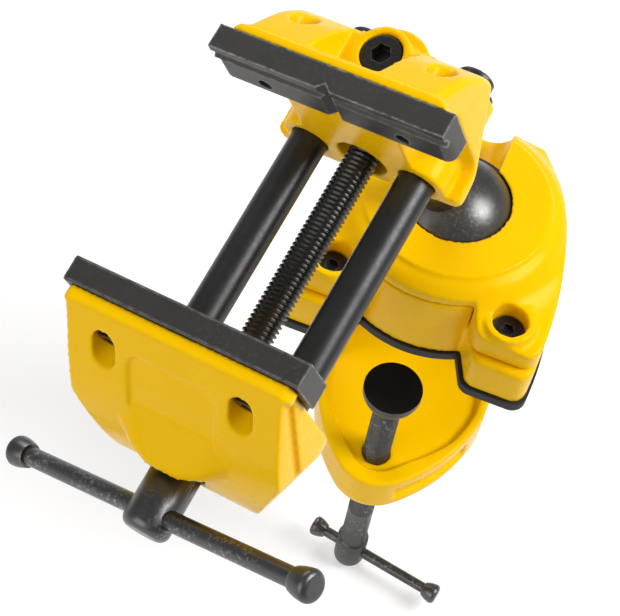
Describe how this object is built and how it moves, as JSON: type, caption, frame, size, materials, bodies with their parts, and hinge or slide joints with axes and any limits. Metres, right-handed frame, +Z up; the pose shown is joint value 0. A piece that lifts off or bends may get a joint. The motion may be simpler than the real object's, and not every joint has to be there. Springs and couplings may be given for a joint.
{
  "type": "multi-angle vise",
  "caption": "Small vise on a ball joint that leans, swivels and turns, with sliding jaw and screw, and a clamp for a bench edge.",
  "frame": {"origin": "where the ball's vertical axis meets the bench top, on the underside of the rubber sole", "axes": "+Z up from the bench; +X along the bench edge, to the right of a user at the clamp screw's side; +Y towards the column behind the bench edge"},
  "size_m": [0.138, 0.2127, 0.31],
  "materials": {
    "casting": "glossy yellow powder coat",
    "jaw_plate": "blackened, satin, edges worn bright",
    "rod": "black, satin",
    "ball": "dark, smooth, lightly speckled",
    "screw_steel": "black oxide",
    "bar": "black oxide, worn",
    "knob": "black, forged",
    "black_screw": "black oxide",
    "ring": "black spring steel",
    "nut": "machined",
    "liner": "matte black",
    "pad": "black, glossy",
    "sole": "matte black"
  },
  "bodies": {
    "frame": {"clamp_frame": "casting", "saddle": "casting", "saddle_screws": "black_screw", "base_pad": "sole"},
    "swivel": {"ball_seat": "liner"},
    "stud": {"ball_stud": "ball"},
    "head": {"fixed_jaw": "casting", "fixed_jaw_plate": "jaw_plate", "fixed_plate_screws": "black_screw", "spindle_nut": "nut", "nut_screw": "black_screw", "neck_pin": "black_screw"},
    "moving": {"moving_jaw": "casting", "moving_jaw_plate": "jaw_plate", "moving_plate_screws": "black_screw", "guide_rod_left": "rod", "guide_rod_right": "rod", "rod_stop_rings": "ring"},
    "spindle": {"spindle": "screw_steel", "spindle_clip": "ring"},
    "spindle_handle": {"spindle_bar": "bar", "spindle_bar_knob_left": "knob", "spindle_bar_knob_right": "knob"},
    "clamp_foot": {"clamp_pad": "pad", "clamp_pad_clip": "ring"},
    "clamp_spindle": {"clamp_screw": "screw_steel"},
    "clamp_handle": {"clamp_bar": "bar", "clamp_bar_knob_left": "knob", "clamp_bar_knob_right": "knob"}
  },
  "joints": [
    {"name": "ball_swivel", "type": "hinge", "parent": "frame", "child": "swivel", "pos_m": [0, 0, 0.028], "axis": [0, 0, 1], "continuous": true},
    {"name": "ball_tilt", "type": "hinge", "parent": "swivel", "child": "stud", "pos_m": [0, 0, 0.028], "axis": [0.6858, -0.7278, 0], "range_deg": [-55, 11]},
    {"name": "head_spin", "type": "hinge", "parent": "stud", "child": "head", "pos_m": [-0.01772, -0.0167, 0.08827], "axis": [-0.2726, -0.2569, 0.9272], "continuous": true},
    {"name": "jaw_slide", "type": "slide", "parent": "head", "child": "moving", "axis": [0.1378, 0.9433, 0.3019], "range_m": [0, 0.0688]},
    {"name": "spindle_turn", "type": "hinge", "parent": "moving", "child": "spindle", "pos_m": [-0.0394, -0.13808, 0.06638], "axis": [0.1378, 0.9433, 0.3019], "range_deg": [0, 16520]},
    {"name": "spindle_bar_slide", "type": "slide", "parent": "spindle", "child": "spindle_handle", "axis": [0.8116, -0.2823, 0.5116], "range_m": [-0.0475, 0.0475]},
    {"name": "clamp_travel", "type": "slide", "parent": "frame", "child": "clamp_foot", "axis": [0, 0, 1], "range_m": [-0.0331, 0.0256]},
    {"name": "clamp_turn", "type": "hinge", "parent": "clamp_foot", "child": "clamp_spindle", "pos_m": [0, -0.0362, -0.08], "axis": [0, 0, 1], "range_deg": [-7960, 6160]},
    {"name": "clamp_bar_slide", "type": "slide", "parent": "clamp_spindle", "child": "clamp_handle", "axis": [0.9848, -0.1736, 0], "range_m": [-0.027, 0.005]}
  ],
  "couplings": [
    {"joint": "spindle_turn", "follows": "jaw_slide", "rad_per_m": 4188.8},
    {"joint": "clamp_turn", "follows": "clamp_travel", "rad_per_m": 4188.8}
  ]
}
